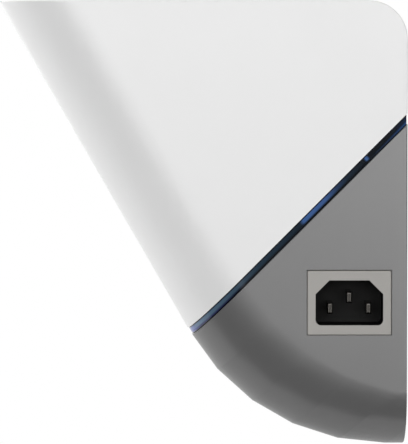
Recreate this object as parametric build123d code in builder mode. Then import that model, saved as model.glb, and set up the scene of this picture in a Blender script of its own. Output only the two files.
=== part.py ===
"""Wall-hung mesh wifi node: a wedge casing with a mains inlet, a seam light and two network jacks.

Millimetres. X runs across the node, the wall is at Y = 0 and the room is at -Y, and Z is up.
The origin is the middle of the flat back.
"""

import math
import os

from build123d import *

os.makedirs("parts", exist_ok=True)

# ---------------------------------------------------------------- driving dimensions

# casing
height = 163.5
width = 140.0
belly_radius = 83.0  # the underside's arc, seen from the side
belly_setback = 7.2  # the arc's centre stands this far off the wall
front_slope = 60.0  # the front face, measured up from the horizontal
belly_flats = 5  # the underside is moulded as this many flats
seam_tilt = 45.0
corner_radius = 28.0  # the two front corners, in planes parallel to the seam
top_back_radius = 14.0
wall = 2.6
back_wall = 5.4
reach = 240.0  # longer than any section of the casing
clearance = 0.3
fit = 0.1

# slots in the top and the underside, and the cover's hooks
vent_pitch = 7.0
vent_count = 11
vent_width = 2.4
vent_length = 46.0
vent_y = -52.0
intake_length = 12.0
intake_y = -19.0
hook_across = 25.0
hook_width = 8.0
hook_back = 10.0
hook_thickness = 2.0
hook_rise = 34.0
hook_barb = 1.4
hook_gap = 0.3

# seam light
band = 2.6
band_gap = 0.15
band_recess = 0.4
lip_height = 8.0
lip_thickness = 2.0
led_height = 2.8
led_width = 3.5
led_thickness = 0.8
led_pitch = 11.0
led_first = 34.0
led_side_count = 6
led_front_count = 7
strip_thickness = 0.4
strip_low = -2.5
strip_high = 3.8
strip_margin = 1.0

# back plate
plate_thickness = 2.6
plate_side = 8.0  # bare rim left at each side
plate_bottom = 10.0
plate_top = 18.0
plate_corner = 8.0
plate_low_corner = 22.0
plate_recess = 2.0
ledge = 6.0
plate_screw_inset = 5.0
plate_boss_length = 10.0
mid_screw_drop = 30.8  # below the seam, at the wall
keyhole_spacing = 80.0
keyhole_height = 46.0
keyhole_entry_radius = 4.6
keyhole_slot_radius = 2.3
keyhole_travel = 8.0

# fasteners
screw_radius = 1.4
screw_length = 8.0
head_radius = 2.75
head_height = 1.8
recess_length = 2.8
recess_width = 0.7
recess_depth = 0.9
boss_radius = 4.0
stud_radius = 1.4

# chassis tray, hung under the seam inside the housing
tray_thickness = 1.6
tray_drop = 4.6  # tray top, below the seam
tray_margin = 0.5
tray_front = 3.4
tray_back_gap = 1.0
tray_boss_inset = 9.0
tray_boss_along = (34.0, 76.0)
tray_boss_length = 9.8
tray_boss_web = 3.0

# main board, over the tray
board_thickness = 1.6
board_width = 98.0
board_front = 16.0
board_back = 88.0
board_corner = 3.0
board_standoff = 6.0
board_hole_inset_across = 5.0
board_hole_inset_along = 6.0
board_screw_grip = 4.0
standoff_radius = 2.9
processor_u = 46.0
processor_size = 23.0
processor_height = 1.6
pad_thickness = 0.8
sink_size = 50.0
sink_plate = 3.0
fin_pitch = 4.45
fin_count = 12
fin_thickness = 1.0
fin_height = 20.0
shield_size = (20.0, 22.0)
shield_height = 2.5
shields_at = [(-35.5, 37.0), (35.5, 37.0), (35.5, 61.0)]
memory_at = [(12.0, 79.0), (28.0, 79.0)]
memory_size = (12.0, 10.0, 1.1)
shield_rounding = 0.8
board_screw_slack = 0.5

# power supply board, under the tray; u is the place along the seam
supply_left = -38.0
supply_right = 24.0
supply_front = 14.0
supply_back = 78.0
supply_standoff = 7.8
supply_hole_inset = 4.0
pillar_radius = 2.5
core_at = (-8.0, 46.0)
core_size = (26.0, 12.0, 22.0)
core_limb = 8.0
core_window = 5.4
winding_depth = 19.0
bulk_at = (-26.0, 30.0)
bulk_radius = 8.5
bulk_height = 25.0
choke_at = (11.0, 27.0)
choke_radius = 8.0
choke_bore = 3.5
choke_height = 9.0
x_capacitor_at = (-6.0, 25.0)
x_capacitor_size = (7.0, 17.0, 13.0)
bridge_at = (9.0, 48.0)
bridge_size = (4.0, 18.0, 11.0)
fuse_at = (11.0, 67.0)
fuse_radius = 2.6
fuse_length = 17.0
supply_sink_at = (-34.0, 56.0)
supply_sink_size = (2.0, 24.0, 22.0)
supply_switch_size = (4.6, 10.0, 16.0)
output_at = [(-24.0, 70.0), (-14.0, 70.0), (-4.0, 70.0)]
output_radius = 4.0
output_height = 14.0
terminal_size = (10.0, 18.0, 11.0)
terminal_u = 48.0
terminal_wires = (43.5, 52.5)
terminal_wire_height = -21.5
terminal_grip = 6.0

# low-voltage lead between the two boards
dc_x = -10.0
dc_socket = (10.0, 8.0, 6.0)
dc_low_end = 76.0
dc_high_end = 84.0
dc_lead_back = 90.5
dc_bend = 4.5
wire_radius = 1.0

# mains inlet, IEC 60320 C14
inlet_y = -21.0
inlet_rise = 53.75  # above the bottom
inlet_flange_width = 30.5
inlet_flange_height = 23.4
inlet_flange_thickness = 1.8
inlet_proud = 0.3
inlet_body_width = 26.6
inlet_body_height = 19.4
inlet_body_depth = 21.0
inlet_mouth_width = 24.5
inlet_mouth_height = 16.3
inlet_mouth_depth = 16.5
inlet_bevel = 5.0
inlet_rim = 0.8
inlet_low_radius = 2.0
ear_length = 10.7
ear_width = 8.0
ear_rise = 1.0
nose_recess = 0.2
bezel_corner = 0.5
bezel_edge = 0.4
blade_rounding = 0.6
blade_width = 2.0
blade_height = 4.0
blade_length = 15.0
blade_spacing = 14.0
blade_row_drop = 2.1
earth_blade_rise = 4.0
tab_length = 8.0
tab_thickness = 0.8
tab_height = 6.3
wire_run = 4.5
wire_bend = 3.0
earth_at = (46.0, 68.0)
lug_radius = 3.6
lug_thickness = 0.8

# network jacks, on a board that stands on the left wall's posts
jack_width = 16.0
jack_height = 14.0
jack_depth = 13.8
jack_recess = 0.2
jack_y = (-13.5, -30.5)
jack_rise = 53.75  # above the bottom
jack_mouth_width = 11.8
jack_mouth_height = 7.0
jack_mouth_depth = 11.0
jack_skin = 0.4
mouth_rise = 0.9
notch_width = 6.2
notch_height = 2.4
contact_count = 8
contact_pitch = 1.02
contact_size = 0.4
contact_length = 7.5
contact_slant = 1.4
contact_gap = 0.6
port_board_front = -43.0
port_board_back = -7.0
port_board_below = 18.0  # from the jacks' middle
port_board_above = 30.0
port_board_gap = 8.0  # from the seam to the board's slanted edge
port_post_radius = 2.6
port_post_inset = 3.6
port_post_y = -21.3
port_post_above = 24.6

# buttons
pair_y = -13.5
pair_above = 21.0  # over the jacks' middle
pair_radius = 4.3
pair_travel = 0.8
pair_proud = 0.9
pair_rounding = 0.5
pair_flange = 1.1
flange_thickness = 1.2
reset_y = -27.0
reset_above = 20.0
reset_hole = 0.9
reset_gap = 2.5
reset_radius = 2.2
switch_size = 6.0
switch_height = 3.4
plunger_radius = 1.6
plunger_grip = 0.8

# ribbon between the two boards
ribbon_u = 56.0
ribbon_width = 12.0
ribbon_thickness = 0.3
ribbon_low = -16.0
ribbon_socket_inset = 2.0
ribbon_bend = 2.0
high_socket_size = (5.0, 14.0, 2.8)
low_socket_size = (2.4, 14.0, -4.0)

# aerials
aerial_u = 68.0
aerial_h = 40.0
aerial_size = (30.0, 22.0)
aerial_thickness = 0.8
tape_thickness = 0.4
aerial_socket_inset = 1.8
aerial_socket_height = 1.2
coax_radius = 0.6
coax_bend = 4.0

# ---------------------------------------------------------------- places worked out from them

bottom = -height / 2
top = height / 2
side = width / 2
first_angle = 90.0 - front_slope
flat_angle = (90.0 - first_angle) / belly_flats
tilt = math.radians(seam_tilt)
slope = math.radians(front_slope)
seam_normal = Vector(0, -math.sin(tilt), math.cos(tilt))
slope_up = Vector(0, -math.cos(slope), math.sin(slope))


def belly_point(radius, angle):
    """A point of the underside's arc, at an angle measured down from the front."""
    turn = math.radians(angle)
    y = -belly_setback - radius * math.cos(turn)
    z = bottom + belly_radius - radius * math.sin(turn)
    return Vector(0, y, z)


# local x is across, y is along the seam towards the wall, z is up off the seam
seam = Plane(origin=belly_point(belly_radius, first_angle), x_dir=(1, 0, 0), z_dir=seam_normal)
# local x is across, y is up, z points into the casing
wall_plane = Plane.XZ
# local x is Y, local y is Z, z is +X
across = Plane.YZ

screw_hole = screw_radius + fit
screw_clear = screw_radius + clearance
seam_at_wall = seam.origin.Z - seam.origin.Y
tray_top = -tray_drop
tray_under = tray_top - tray_thickness
tray_back = (-back_wall - seam.origin.Y) / math.cos(tilt) + tray_under - tray_back_gap
tray_boss_across = side - tray_boss_inset
board_under = tray_top + board_standoff
board_top = board_under + board_thickness
supply_top = tray_under - supply_standoff
supply_under = supply_top - board_thickness
port_board_face = -side + jack_recess + jack_depth
port_board_back_face = port_board_face + board_thickness
ribbon_x = port_board_back_face + low_socket_size[0] / 2
ribbon_end = ribbon_socket_inset - board_width / 2
inlet_z = bottom + inlet_rise
jack_z = bottom + jack_rise
pair_z = jack_z + pair_above
reset_z = jack_z + reset_above
port_board_bottom = jack_z - port_board_below
port_board_top = jack_z + port_board_above
port_board_slope = seam_at_wall - port_board_gap / math.cos(tilt)
lip_outer = wall + clearance
lip_inner = lip_outer + lip_thickness
strip_outer = lip_inner + fit + led_thickness
strip_inner = strip_outer + strip_thickness
led_middle = led_first + led_pitch * (led_side_count - 1) / 2

plate_low = bottom + plate_bottom
plate_high = top - plate_top
plate_half = side - plate_side
high_screw_x = plate_half - plate_screw_inset
low_screw_reach = (plate_low_corner - plate_screw_inset) * math.sqrt(0.5)
low_screw_x = plate_half - plate_low_corner + low_screw_reach
low_screw_z = plate_low + plate_low_corner - low_screw_reach
high_screws = [(x, plate_high - plate_screw_inset) for x in (-high_screw_x, high_screw_x)]
mid_screw_height = seam_at_wall - mid_screw_drop
low_screws = [(x, mid_screw_height) for x in (-high_screw_x, high_screw_x)]
low_screws += [(x, low_screw_z) for x in (-low_screw_x, low_screw_x)]

tray_bosses = [(x, u) for x in (-tray_boss_across, tray_boss_across) for u in tray_boss_along]
board_hole_across = board_width / 2 - board_hole_inset_across
board_hole_along = (board_front + board_hole_inset_along, board_back - board_hole_inset_along)
board_holes = [(x, u) for x in (-board_hole_across, board_hole_across) for u in board_hole_along]
aerial_socket_x = board_width / 2 - aerial_socket_inset
aerial_sockets_at = [(x, aerial_u) for x in (-aerial_socket_x, aerial_socket_x)]
supply_holes = [
    (x, u)
    for x in (supply_left + supply_hole_inset, supply_right - supply_hole_inset)
    for u in (supply_front + supply_hole_inset, supply_back - supply_hole_inset)
]


def hand_over(piece, node):
    """Labels a finished piece and writes it."""
    piece.part.label = node
    export_step(piece.part, f"parts/{node}.step")


def blocks(plane, centres, size, rounding=0.0, mode=Mode.ADD):
    """Blocks on the piece being built: each footprint is centred on the plane, and its height goes up."""
    with BuildSketch(plane) as footprints:
        with Locations(*centres):
            if rounding:
                RectangleRounded(size[0], size[1], rounding)
            else:
                Rectangle(size[0], size[1])
    extrude(footprints.sketch, amount=size[2], mode=mode)


def rods(plane, centres, radius, length, mode=Mode.ADD):
    """Round rods on the piece being built, standing on the plane."""
    with BuildSketch(plane) as footprints:
        with Locations(*centres):
            Circle(radius)
    extrude(footprints.sketch, amount=length, mode=mode)


def slot_row(plane, size, depth):
    """Cuts a row of round-ended slots, long in the plane's y, through the piece being built."""
    with BuildSketch(plane) as openings:
        with GridLocations(vent_pitch, 0, vent_count, 1):
            SlotOverall(size[1], size[0], rotation=90)
    extrude(openings.sketch, amount=depth, both=True, mode=Mode.SUBTRACT)


def keep_between(low, high):
    """Keeps what lies between two heights off the seam, of the piece being built."""
    with BuildSketch(seam.offset(low)) as sheet:
        Rectangle(2 * reach, 2 * reach)
    extrude(sheet.sketch, amount=high - low, mode=Mode.INTERSECT)


def pan_screws(plane, centres, length):
    """Cross-head screws on the piece being built: the heads stand on the plane, the shanks go down."""
    rods(plane, centres, head_radius, head_height)
    rods(plane, centres, screw_radius, -length)
    for across_size in ((recess_length, recess_width), (recess_width, recess_length)):
        blocks(plane.offset(head_height), centres, (*across_size, -recess_depth), mode=Mode.SUBTRACT)


def lead(plane, points, bend, radius):
    """A round lead on the piece being built, along points given in the plane's own frame."""
    with BuildLine(plane) as route:
        FilletPolyline(*points, radius=bend)
    with BuildSketch(Plane(origin=route.wire() @ 0, z_dir=route.wire() % 0)) as section:
        Circle(radius)
    sweep(section.sketch, path=route.wire())


# ---------------------------------------------------------------- casing forms


def form(inset, back):
    """The casing's outside, taken in by inset all round and standing back from the wall by back."""
    corners = [
        belly_point(belly_radius - inset, first_angle + number * flat_angle)
        for number in range(belly_flats + 1)
    ]
    runs = [(corners[0], slope_up * reach)]
    runs += [(start, end - start) for start, end in zip(corners, corners[1:])]
    runs.append((corners[-1], Vector(0, reach, 0)))
    with BuildPart() as whole:
        for start, run in runs:
            with BuildSketch(Plane(origin=start, x_dir=(1, 0, 0), z_dir=seam_normal)) as section:
                with Locations((0, reach / 2)):
                    Rectangle(width - 2 * inset, reach)
                fillet(section.vertices().group_by(Axis.Y)[0], corner_radius - inset)
            extrude(amount=run.length, dir=run.normalized())
        with BuildSketch(across) as room:
            with Locations((-back - reach / 2, top - inset - reach / 2)):
                Rectangle(reach, reach)
            top_back = room.vertices().group_by(Axis.X)[-1].sort_by(Axis.Y)[-1]
            fillet(top_back, top_back_radius - inset)
        extrude(amount=width, both=True, mode=Mode.INTERSECT)
    return whole.part


def plate_outline(growth):
    """The back plate's outline, grown all round."""
    low, high = plate_low - growth, plate_high + growth
    with BuildSketch() as outline:
        with Locations((0, (low + high) / 2)):
            Rectangle(2 * (plate_half + growth), high - low)
        fillet(outline.vertices().group_by(Axis.Y)[-1], plate_corner + growth)
        fillet(outline.vertices().group_by(Axis.Y)[0], plate_low_corner + growth)
    return outline.sketch


casing_outside = form(0.0, 0.0)
casing_inside = form(wall, back_wall)

# the back plate, and the stepped opening it sits in
with BuildPart() as plate_sheet_piece:
    with BuildSketch(wall_plane):
        add(plate_outline(0.0))
    extrude(amount=plate_thickness)
plate_sheet = plate_sheet_piece.part

with BuildPart() as plate_seat_piece:
    with BuildSketch(wall_plane):
        add(plate_outline(clearance))
    extrude(amount=plate_thickness)
    with BuildSketch(wall_plane):
        add(plate_outline(-ledge))
    extrude(amount=back_wall)
    # the bosses stand in the ledge's opening and stay whole
    boss_seat = wall_plane.offset(plate_thickness)
    rods(boss_seat, high_screws + low_screws, boss_radius, back_wall, mode=Mode.SUBTRACT)
plate_seat = plate_seat_piece.part

# ---------------------------------------------------------------- upper cover, white

top_face = Plane(origin=(0, vent_y, top), x_dir=(1, 0, 0), z_dir=(0, 0, 1))
hooks_at = [(x, hook_back - hook_thickness / 2) for x in (-hook_across, hook_across)]
barbs_at = [(x, hook_back - (hook_thickness + hook_barb) / 2) for x in (-hook_across, hook_across)]
hook_foot = tray_under - hook_gap

with BuildPart() as upper_cover:
    add(casing_outside)
    add(casing_inside, mode=Mode.SUBTRACT)
    keep_between(band / 2 + band_gap, reach)
    rods(wall_plane.offset(plate_thickness), high_screws, boss_radius, plate_boss_length)
    rods(wall_plane, high_screws, screw_hole, plate_thickness + plate_boss_length, mode=Mode.SUBTRACT)
    slot_row(top_face, (vent_width, vent_length), 2 * wall)
    blocks(seam.offset(hook_foot), hooks_at, (hook_width, hook_thickness, hook_rise))
    blocks(seam.offset(hook_foot), barbs_at, (hook_width, hook_thickness + hook_barb, -hook_thickness))
    add(plate_seat, mode=Mode.SUBTRACT)
    add(casing_outside, mode=Mode.INTERSECT)
hand_over(upper_cover, "upper_cover")

# ---------------------------------------------------------------- lower housing, grey


def port_board_sheet(growth, mode=Mode.ADD):
    """The port board's slanted outline and thickness, grown all round, on the piece being built."""
    with BuildSketch(across.offset(port_board_face)) as outline:
        with BuildLine():
            Polyline(
                (port_board_front, port_board_bottom),
                (port_board_back, port_board_bottom),
                (port_board_back, port_board_top),
                (port_board_top - port_board_slope, port_board_top),
                (port_board_front, port_board_front + port_board_slope),
                close=True,
            )
        make_face()
        if growth:
            offset(amount=growth, kind=Kind.INTERSECTION)
    extrude(outline.sketch, amount=board_thickness, mode=mode)


bottom_face = Plane(origin=(0, intake_y, bottom), x_dir=(1, 0, 0), z_dir=(0, 0, 1))
right_side = across.offset(side)
left_side = across.offset(-side)
flange_size = (inlet_flange_width, inlet_flange_height)
flange_seat = [size + 2 * fit for size in flange_size]
body_opening = [size + 2 * clearance for size in (inlet_body_width, inlet_body_height)]
jack_opening = [size + 2 * clearance for size in (jack_width, jack_height)]
jacks_at = [(y, jack_z) for y in jack_y]
web_middle = (tray_boss_across + side - wall / 2) / 2
webs_at = [(math.copysign(web_middle, x), u) for x, u in tray_bosses]
port_posts = [
    (port_board_front + port_post_inset, port_board_bottom + port_post_inset),
    (port_board_back - port_post_inset, port_board_bottom + port_post_inset),
    (port_post_y, jack_z + port_post_above),
]

with BuildPart() as lower_housing:
    add(casing_outside)
    add(casing_inside, mode=Mode.SUBTRACT)
    keep_between(-reach, -band / 2 - band_gap)
    rods(wall_plane.offset(plate_thickness), low_screws, boss_radius, plate_boss_length)
    rods(wall_plane, low_screws, screw_hole, plate_thickness + plate_boss_length, mode=Mode.SUBTRACT)
    # tray bosses, each on a web from the side wall
    rods(seam.offset(tray_under), tray_bosses, boss_radius, -tray_boss_length)
    blocks(
        seam.offset(tray_under),
        webs_at,
        (side - wall / 2 - tray_boss_across, tray_boss_web, -tray_boss_length),
    )
    rods(seam.offset(tray_under), tray_bosses, screw_hole, 1 - tray_boss_length, mode=Mode.SUBTRACT)
    # the tray bosses leave room for the port board, and posts carry it
    port_board_sheet(clearance, mode=Mode.SUBTRACT)
    rods(across.offset(wall / 2 - side), port_posts, port_post_radius, port_board_face + side - wall / 2)
    rods(across.offset(port_board_face), port_posts, screw_hole, -screw_length, mode=Mode.SUBTRACT)
    # mains inlet: a shallow seat for the flange, and the opening behind it
    blocks(
        right_side,
        [(inlet_y, inlet_z)],
        (*flange_seat, inlet_proud - inlet_flange_thickness),
        mode=Mode.SUBTRACT,
    )
    blocks(right_side, [(inlet_y, inlet_z)], (*body_opening, -2 * wall), mode=Mode.SUBTRACT)
    # jack openings, pairing button hole and reset pinhole
    blocks(left_side, jacks_at, (*jack_opening, 1.5 * wall), mode=Mode.SUBTRACT)
    rods(left_side, [(pair_y, pair_z)], pair_radius + fit, 1.5 * wall, mode=Mode.SUBTRACT)
    rods(left_side, [(reset_y, reset_z)], reset_hole, 1.5 * wall, mode=Mode.SUBTRACT)
    slot_row(bottom_face, (vent_width, intake_length), 2 * wall)
    add(plate_seat, mode=Mode.SUBTRACT)
hand_over(lower_housing, "lower_housing")

# ---------------------------------------------------------------- seam light, its strip and its lamps


def hoop(outer, inner, back, low, high):
    """The casing's wall between two insets and two heights off the seam, open at the wall."""
    outside = form(outer, back)
    inside = form(inner, -reach / 4)
    with BuildPart() as ring:
        add(outside)
        add(inside, mode=Mode.SUBTRACT)
        keep_between(low, high)
    return ring.part


band_rise = band / 2 / math.cos(tilt)

visible_band = hoop(band_recess, lip_inner, band_recess, -band / 2, band / 2)
hidden_lip = hoop(lip_outer, lip_inner, back_wall + clearance, -lip_height / 2, lip_height / 2)

with BuildPart() as light_ring:
    add(visible_band)
    add(hidden_lip)
    # at the wall each end has a foot that closes the seam up to the back plate
    for sign in (-1, 1):
        foot_start = across.offset(sign * (plate_half + clearance + fit))
        with BuildSketch(foot_start) as foot_side:
            with BuildLine():
                Polyline(
                    (-back_wall, seam_at_wall - back_wall - band_rise),
                    (-band_recess, seam_at_wall - band_recess - band_rise),
                    (-band_recess, seam_at_wall - band_recess + band_rise),
                    (-back_wall, seam_at_wall - back_wall + band_rise),
                    close=True,
                )
            make_face()
        extrude(foot_side.sketch, amount=sign * (plate_side - lip_inner + clearance))
hand_over(light_ring, "light_ring")

strip_back = back_wall + strip_margin
strip_sheet = hoop(strip_outer, strip_inner, strip_back, strip_low, strip_high)
led_row = hoop(lip_inner + fit, strip_outer, strip_back, -led_height / 2, led_height / 2)

with BuildPart() as led_strip:
    add(strip_sheet)
hand_over(led_strip, "led_strip")

with BuildPart() as leds:
    add(led_row)
    with BuildSketch(seam.offset(-led_height)) as led_footprints:
        with Locations((-side, led_middle), (side, led_middle)):
            with GridLocations(0, led_pitch, 1, led_side_count):
                Rectangle(2 * corner_radius, led_width)
        with GridLocations(led_pitch, 0, led_front_count, 1):
            Rectangle(led_width, corner_radius)
    extrude(amount=2 * led_height, mode=Mode.INTERSECT)
hand_over(leds, "leds")

# ---------------------------------------------------------------- back plate and its screws

plate_screws_at = high_screws + low_screws
# local y is down and z points into the wall
plate_screw_seat = Plane(origin=(0, -plate_recess, 0), x_dir=(1, 0, 0), z_dir=(0, 1, 0))

with BuildPart() as back_plate:
    add(plate_sheet)
    rods(wall_plane, plate_screws_at, head_radius + clearance, plate_recess, mode=Mode.SUBTRACT)
    rods(wall_plane, plate_screws_at, screw_clear, plate_thickness, mode=Mode.SUBTRACT)
    with BuildSketch(wall_plane):
        for x in (-keyhole_spacing / 2, keyhole_spacing / 2):
            with Locations((x, keyhole_height)):
                Circle(keyhole_entry_radius)
            with Locations((x, keyhole_height + keyhole_travel / 2)):
                Rectangle(2 * keyhole_slot_radius, keyhole_travel)
            with Locations((x, keyhole_height + keyhole_travel)):
                Circle(keyhole_slot_radius)
    extrude(amount=plate_thickness, mode=Mode.SUBTRACT)
hand_over(back_plate, "back_plate")

with BuildPart() as plate_screws:
    pan_screws(plate_screw_seat, [(x, -z) for x, z in plate_screws_at], screw_length)
hand_over(plate_screws, "plate_screws")

# ---------------------------------------------------------------- chassis tray

with BuildPart() as chassis_tray:
    with BuildSketch(seam.offset(tray_under)) as tray_outline:
        with Locations((0, (tray_front + tray_back) / 2)):
            Rectangle(2 * (side - wall - tray_margin), tray_back - tray_front)
        fillet(tray_outline.vertices().group_by(Axis.Y)[0], corner_radius - wall - tray_margin)
        fillet(tray_outline.vertices().group_by(Axis.Y)[-1], board_corner)
    extrude(amount=tray_thickness)
    rods(seam.offset(tray_under), tray_bosses, screw_clear, tray_thickness, mode=Mode.SUBTRACT)
    rods(seam.offset(tray_under), board_holes, stud_radius, tray_thickness, mode=Mode.SUBTRACT)
    rods(seam.offset(tray_under), supply_holes, stud_radius, tray_thickness, mode=Mode.SUBTRACT)
    rods(seam.offset(tray_under), [earth_at], screw_radius, tray_thickness, mode=Mode.SUBTRACT)
    # slots for the cover's hooks, the ribbon and the supply's lead
    hook_slot = hook_thickness + hook_barb + 4 * hook_gap
    for x in (-hook_across, hook_across):
        hook_slot_middle = hook_back - hook_thickness - hook_gap + hook_slot / 2
        hook_slot_size = (hook_width + 4 * hook_gap, hook_slot, tray_thickness)
        blocks(seam.offset(tray_under), [(x, hook_slot_middle)], hook_slot_size, mode=Mode.SUBTRACT)
    ribbon_slot = (ribbon_thickness + 1.5, ribbon_width + 2.0, tray_thickness)
    blocks(seam.offset(tray_under), [(ribbon_x, ribbon_u)], ribbon_slot, mode=Mode.SUBTRACT)
    dc_slot = (8 * wire_radius, 5 * wire_radius, tray_thickness)
    blocks(seam.offset(tray_under), [(dc_x, dc_lead_back)], dc_slot, mode=Mode.SUBTRACT)
hand_over(chassis_tray, "chassis_tray")

with BuildPart() as tray_screws:
    pan_screws(seam.offset(tray_top), tray_bosses, screw_length)
hand_over(tray_screws, "tray_screws")

# ---------------------------------------------------------------- main board and what is on it

with BuildPart() as board_standoffs:
    with BuildSketch(seam.offset(tray_top)):
        with Locations(*board_holes):
            RegularPolygon(standoff_radius, 6)
    extrude(amount=board_standoff)
    rods(seam.offset(tray_top), board_holes, stud_radius, -tray_thickness)
    rods(seam.offset(board_under), board_holes, screw_hole, -board_screw_grip, mode=Mode.SUBTRACT)
hand_over(board_standoffs, "board_standoffs")

with BuildPart() as main_board:
    with BuildSketch(seam.offset(board_under)):
        with Locations((0, (board_front + board_back) / 2)):
            RectangleRounded(board_width, board_back - board_front, board_corner)
    extrude(amount=board_thickness)
    rods(seam.offset(board_under), board_holes, screw_clear, board_thickness, mode=Mode.SUBTRACT)
hand_over(main_board, "main_board")

with BuildPart() as board_screws:
    pan_screws(seam.offset(board_top), board_holes, board_thickness + board_screw_grip - board_screw_slack)
hand_over(board_screws, "board_screws")

with BuildPart() as processor:
    blocks(seam.offset(board_top), [(0, processor_u)], (processor_size, processor_size, processor_height))
hand_over(processor, "processor")

with BuildPart() as thermal_pad:
    pad_base = board_top + processor_height
    blocks(seam.offset(pad_base), [(0, processor_u)], (processor_size, processor_size, pad_thickness))
hand_over(thermal_pad, "thermal_pad")

with BuildPart() as heatsink:
    sink_base = pad_base + pad_thickness
    sink_top = sink_base + sink_plate
    blocks(seam.offset(sink_base), [(0, processor_u)], (sink_size, sink_size, sink_plate))
    with BuildSketch(seam.offset(sink_top)):
        with Locations((0, processor_u)):
            with GridLocations(fin_pitch, 0, fin_count, 1):
                Rectangle(fin_thickness, sink_size)
    extrude(amount=fin_height)
hand_over(heatsink, "heatsink")

with BuildPart() as radio_shields:
    blocks(seam.offset(board_top), shields_at, (*shield_size, shield_height), rounding=shield_rounding)
hand_over(radio_shields, "radio_shields")

with BuildPart() as memory_chips:
    blocks(seam.offset(board_top), memory_at, memory_size)
hand_over(memory_chips, "memory_chips")

with BuildPart() as aerial_sockets:
    rods(seam.offset(board_top), aerial_sockets_at, 1.4, aerial_socket_height)
hand_over(aerial_sockets, "aerial_sockets")

# ---------------------------------------------------------------- power supply, under the tray

hanging = Plane(origin=seam.offset(supply_under).origin, x_dir=(1, 0, 0), z_dir=-seam_normal)


def under(places):
    """Places on the supply board's underside, in the hanging plane, whose y runs away from the wall."""
    return [(x, -u) for x, u in places]


with BuildPart() as supply_standoffs:
    rods(seam.offset(tray_under), supply_holes, pillar_radius, -supply_standoff)
    rods(seam.offset(tray_top), supply_holes, stud_radius, supply_under - tray_top)
hand_over(supply_standoffs, "supply_standoffs")

with BuildPart() as supply_board:
    supply_middle = ((supply_left + supply_right) / 2, (supply_front + supply_back) / 2)
    supply_size = (supply_right - supply_left, supply_back - supply_front, board_thickness)
    blocks(seam.offset(supply_under), [supply_middle], supply_size, rounding=1.5)
    rods(seam.offset(supply_under), supply_holes, stud_radius, board_thickness, mode=Mode.SUBTRACT)
hand_over(supply_board, "supply_board")

with BuildPart() as transformer_core:
    blocks(hanging, under([core_at]), core_size)
    for sign in (-1, 1):
        window = (core_at[0] + sign * (core_limb + core_window) / 2, core_at[1])
        blocks(
            hanging.offset(core_limb / 2),
            under([window]),
            (core_window, core_size[1], core_size[2] - core_limb),
            mode=Mode.SUBTRACT,
        )
hand_over(transformer_core, "transformer_core")

with BuildPart() as transformer_winding:
    winding_size = (core_limb + 2 * core_window, winding_depth, core_size[2] - core_limb)
    blocks(hanging.offset(core_limb / 2), under([core_at]), winding_size)
    blocks(hanging, under([core_at]), (core_limb, core_size[1], core_size[2]), mode=Mode.SUBTRACT)
hand_over(transformer_winding, "transformer_winding")

with BuildPart() as bulk_capacitor:
    rods(hanging, under([bulk_at]), bulk_radius, bulk_height)
    fillet(bulk_capacitor.faces().sort_by(Axis(hanging.origin, hanging.z_dir))[-1].edges(), 0.8)
hand_over(bulk_capacitor, "bulk_capacitor")

with BuildPart() as line_choke:
    rods(hanging, under([choke_at]), choke_radius, choke_height)
    rods(hanging, under([choke_at]), choke_bore, choke_height, mode=Mode.SUBTRACT)
hand_over(line_choke, "line_choke")

with BuildPart() as x_capacitor:
    blocks(hanging, under([x_capacitor_at]), x_capacitor_size, rounding=0.6)
hand_over(x_capacitor, "x_capacitor")

with BuildPart() as bridge_rectifier:
    blocks(hanging, under([bridge_at]), bridge_size)
hand_over(bridge_rectifier, "bridge_rectifier")

with BuildPart() as fuse:
    fuse_axis = supply_under - fuse_radius
    fuse_start = (fuse_at[0], fuse_at[1] - fuse_length / 2, fuse_axis)
    fuse_end = Plane(origin=seam.from_local_coords(fuse_start), z_dir=seam.y_dir)
    rods(fuse_end, [(0, 0)], fuse_radius, fuse_length)
hand_over(fuse, "fuse")

with BuildPart() as supply_heatsink:
    blocks(hanging, under([supply_sink_at]), supply_sink_size)
hand_over(supply_heatsink, "supply_heatsink")

with BuildPart() as supply_switch:
    switch_x = supply_sink_at[0] + (supply_sink_size[0] + supply_switch_size[0]) / 2
    blocks(hanging, under([(switch_x, supply_sink_at[1])]), supply_switch_size)
hand_over(supply_switch, "supply_switch")

with BuildPart() as output_capacitors:
    rods(hanging, under(output_at), output_radius, output_height)
hand_over(output_capacitors, "output_capacitors")

with BuildPart() as mains_terminal:
    terminal_at = (supply_right - terminal_size[0] / 2, terminal_u)
    blocks(hanging, under([terminal_at]), terminal_size)
    entries = [(u, terminal_wire_height) for u in terminal_wires]
    terminal_corner = seam.from_local_coords((supply_right, 0, 0))
    terminal_face = Plane(origin=terminal_corner, x_dir=seam.y_dir, z_dir=(1, 0, 0))
    rods(terminal_face, entries, wire_radius, -terminal_grip, mode=Mode.SUBTRACT)
    rods(
        hanging.offset(terminal_size[2]),
        under([(supply_right - terminal_grip / 2, u) for u in terminal_wires]),
        wire_radius,
        -2.0,
        mode=Mode.SUBTRACT,
    )
hand_over(mains_terminal, "mains_terminal")

with BuildPart() as power_sockets:
    blocks(seam.offset(supply_top), [(dc_x, dc_low_end - dc_socket[1] / 2)], dc_socket)
    blocks(seam.offset(board_top), [(dc_x, dc_high_end - dc_socket[1] / 2)], dc_socket)
hand_over(power_sockets, "power_sockets")

with BuildPart() as dc_lead:
    low_run = supply_top + dc_socket[2] / 2
    high_run = board_top + dc_socket[2] / 2
    dc_points = [
        (dc_x, dc_low_end, low_run),
        (dc_x, dc_lead_back, low_run),
        (dc_x, dc_lead_back, high_run),
        (dc_x, dc_high_end, high_run),
    ]
    lead(seam, dc_points, dc_bend, wire_radius)
hand_over(dc_lead, "dc_lead")

# ---------------------------------------------------------------- mains inlet

flange_back = side + inlet_proud - inlet_flange_thickness
body_back = flange_back - inlet_body_depth


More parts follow.
